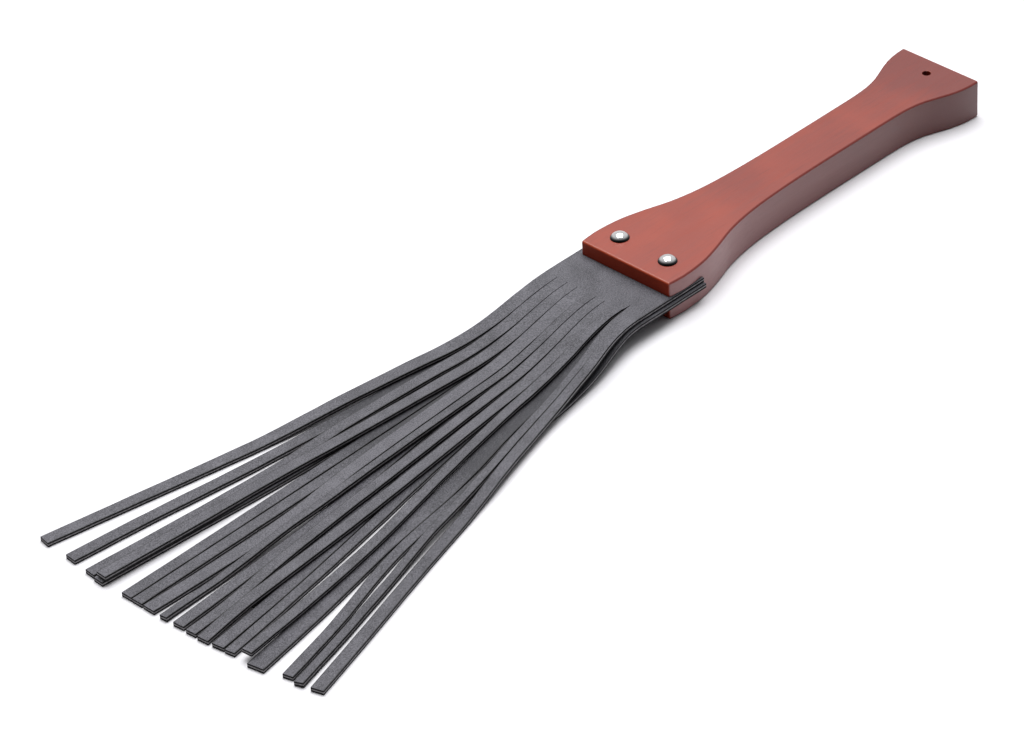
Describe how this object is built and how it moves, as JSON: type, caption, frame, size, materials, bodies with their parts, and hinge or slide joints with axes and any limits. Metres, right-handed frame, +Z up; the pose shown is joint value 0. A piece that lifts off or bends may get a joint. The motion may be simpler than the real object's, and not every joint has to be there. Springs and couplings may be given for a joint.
{
  "type": "fly swatter",
  "caption": "Hand swatter with a flat waisted wooden handle and layers of charcoal leather clamped in its kerf and slit into long loose tails.",
  "frame": {"origin": "centre of the hanging hole on the underside of the handle, the face it lies on", "axes": "+X along the handle towards the tails, +Z up through the hanging hole, +Y to the left of +X"},
  "size_m": [0.5068, 0.1625, 0.0218],
  "materials": {
    "stained_wood": "red-brown stain under a satin clear coat",
    "charcoal_leather": "matt fine-grained charcoal",
    "bright_metal": "polished bright plating"
  },
  "bodies": {
    "handle": {"handle": "stained_wood", "post_barrels": "bright_metal", "post_screws": "bright_metal", "upper_clamped_end": "charcoal_leather", "lower_clamped_end": "charcoal_leather"},
    "leather_neck": {"upper_neck": "charcoal_leather", "lower_neck": "charcoal_leather"},
    "upper_tail_1": {"upper_tail_1": "charcoal_leather"},
    "upper_tail_2": {"upper_tail_2": "charcoal_leather"},
    "upper_tail_3": {"upper_tail_3": "charcoal_leather"},
    "upper_tail_4": {"upper_tail_4": "charcoal_leather"},
    "upper_tail_5": {"upper_tail_5": "charcoal_leather"},
    "upper_tail_6": {"upper_tail_6": "charcoal_leather"},
    "upper_tail_7": {"upper_tail_7": "charcoal_leather"},
    "upper_tail_8": {"upper_tail_8": "charcoal_leather"},
    "upper_tail_9": {"upper_tail_9": "charcoal_leather"},
    "upper_tail_10": {"upper_tail_10": "charcoal_leather"},
    "lower_tail_1": {"lower_tail_1": "charcoal_leather"},
    "lower_tail_2": {"lower_tail_2": "charcoal_leather"},
    "lower_tail_3": {"lower_tail_3": "charcoal_leather"},
    "lower_tail_4": {"lower_tail_4": "charcoal_leather"},
    "lower_tail_5": {"lower_tail_5": "charcoal_leather"},
    "lower_tail_6": {"lower_tail_6": "charcoal_leather"},
    "lower_tail_7": {"lower_tail_7": "charcoal_leather"},
    "lower_tail_8": {"lower_tail_8": "charcoal_leather"},
    "lower_tail_9": {"lower_tail_9": "charcoal_leather"},
    "lower_tail_10": {"lower_tail_10": "charcoal_leather"}
  },
  "joints": [
    {"name": "leather_bend", "type": "hinge", "parent": "handle", "child": "leather_neck", "pos_m": [0.2055, 0, 0.0095], "axis": [0, -1, 0], "range_deg": [-45, 45], "stiffness_Nm_per_rad": 0.6},
    {"name": "upper_tail_1_flex", "type": "hinge", "parent": "leather_neck", "child": "upper_tail_1", "pos_m": [0.224, -0.0257, 0.0118], "axis": [0, -1, 0], "range_deg": [0, 70], "stiffness_Nm_per_rad": 0.004},
    {"name": "upper_tail_2_flex", "type": "hinge", "parent": "leather_neck", "child": "upper_tail_2", "pos_m": [0.224, -0.01905, 0.0118], "axis": [0, -1, 0], "range_deg": [0, 70], "stiffness_Nm_per_rad": 0.004},
    {"name": "upper_tail_3_flex", "type": "hinge", "parent": "leather_neck", "child": "upper_tail_3", "pos_m": [0.224, -0.013, 0.0118], "axis": [0, -1, 0], "range_deg": [0, 70], "stiffness_Nm_per_rad": 0.004},
    {"name": "upper_tail_4_flex", "type": "hinge", "parent": "leather_neck", "child": "upper_tail_4", "pos_m": [0.224, -0.0066, 0.0118], "axis": [0, -1, 0], "range_deg": [0, 70], "stiffness_Nm_per_rad": 0.004},
    {"name": "upper_tail_5_flex", "type": "hinge", "parent": "leather_neck", "child": "upper_tail_5", "pos_m": [0.224, -0.00105, 0.0118], "axis": [0, -1, 0], "range_deg": [0, 70], "stiffness_Nm_per_rad": 0.004},
    {"name": "upper_tail_6_flex", "type": "hinge", "parent": "leather_neck", "child": "upper_tail_6", "pos_m": [0.224, 0.00375, 0.0118], "axis": [0, -1, 0], "range_deg": [0, 70], "stiffness_Nm_per_rad": 0.004},
    {"name": "upper_tail_7_flex", "type": "hinge", "parent": "leather_neck", "child": "upper_tail_7", "pos_m": [0.224, 0.0091, 0.0118], "axis": [0, -1, 0], "range_deg": [0, 70], "stiffness_Nm_per_rad": 0.004},
    {"name": "upper_tail_8_flex", "type": "hinge", "parent": "leather_neck", "child": "upper_tail_8", "pos_m": [0.224, 0.0145, 0.0118], "axis": [0, -1, 0], "range_deg": [0, 70], "stiffness_Nm_per_rad": 0.004},
    {"name": "upper_tail_9_flex", "type": "hinge", "parent": "leather_neck", "child": "upper_tail_9", "pos_m": [0.224, 0.01955, 0.0118], "axis": [0, -1, 0], "range_deg": [0, 70], "stiffness_Nm_per_rad": 0.004},
    {"name": "upper_tail_10_flex", "type": "hinge", "parent": "leather_neck", "child": "upper_tail_10", "pos_m": [0.224, 0.02455, 0.0118], "axis": [0, -1, 0], "range_deg": [0, 70], "stiffness_Nm_per_rad": 0.004},
    {"name": "lower_tail_1_flex", "type": "hinge", "parent": "leather_neck", "child": "lower_tail_1", "pos_m": [0.224, -0.02445, 0.0072], "axis": [0, -1, 0], "range_deg": [-70, 0], "stiffness_Nm_per_rad": 0.004},
    {"name": "lower_tail_2_flex", "type": "hinge", "parent": "leather_neck", "child": "lower_tail_2", "pos_m": [0.224, -0.0189, 0.0072], "axis": [0, -1, 0], "range_deg": [-70, 0], "stiffness_Nm_per_rad": 0.004},
    {"name": "lower_tail_3_flex", "type": "hinge", "parent": "leather_neck", "child": "lower_tail_3", "pos_m": [0.224, -0.01355, 0.0072], "axis": [0, -1, 0], "range_deg": [-70, 0], "stiffness_Nm_per_rad": 0.004},
    {"name": "lower_tail_4_flex", "type": "hinge", "parent": "leather_neck", "child": "lower_tail_4", "pos_m": [0.224, -0.0082, 0.0072], "axis": [0, -1, 0], "range_deg": [-70, 0], "stiffness_Nm_per_rad": 0.004},
    {"name": "lower_tail_5_flex", "type": "hinge", "parent": "leather_neck", "child": "lower_tail_5", "pos_m": [0.224, -0.0028, 0.0072], "axis": [0, -1, 0], "range_deg": [-70, 0], "stiffness_Nm_per_rad": 0.004},
    {"name": "lower_tail_6_flex", "type": "hinge", "parent": "leather_neck", "child": "lower_tail_6", "pos_m": [0.224, 0.0025, 0.0072], "axis": [0, -1, 0], "range_deg": [-70, 0], "stiffness_Nm_per_rad": 0.004},
    {"name": "lower_tail_7_flex", "type": "hinge", "parent": "leather_neck", "child": "lower_tail_7", "pos_m": [0.224, 0.00775, 0.0072], "axis": [0, -1, 0], "range_deg": [-70, 0], "stiffness_Nm_per_rad": 0.004},
    {"name": "lower_tail_8_flex", "type": "hinge", "parent": "leather_neck", "child": "lower_tail_8", "pos_m": [0.224, 0.01285, 0.0072], "axis": [0, -1, 0], "range_deg": [-70, 0], "stiffness_Nm_per_rad": 0.004},
    {"name": "lower_tail_9_flex", "type": "hinge", "parent": "leather_neck", "child": "lower_tail_9", "pos_m": [0.224, 0.0194, 0.0072], "axis": [0, -1, 0], "range_deg": [-70, 0], "stiffness_Nm_per_rad": 0.004},
    {"name": "lower_tail_10_flex", "type": "hinge", "parent": "leather_neck", "child": "lower_tail_10", "pos_m": [0.224, 0.026, 0.0072], "axis": [0, -1, 0], "range_deg": [-70, 0], "stiffness_Nm_per_rad": 0.004}
  ]
}
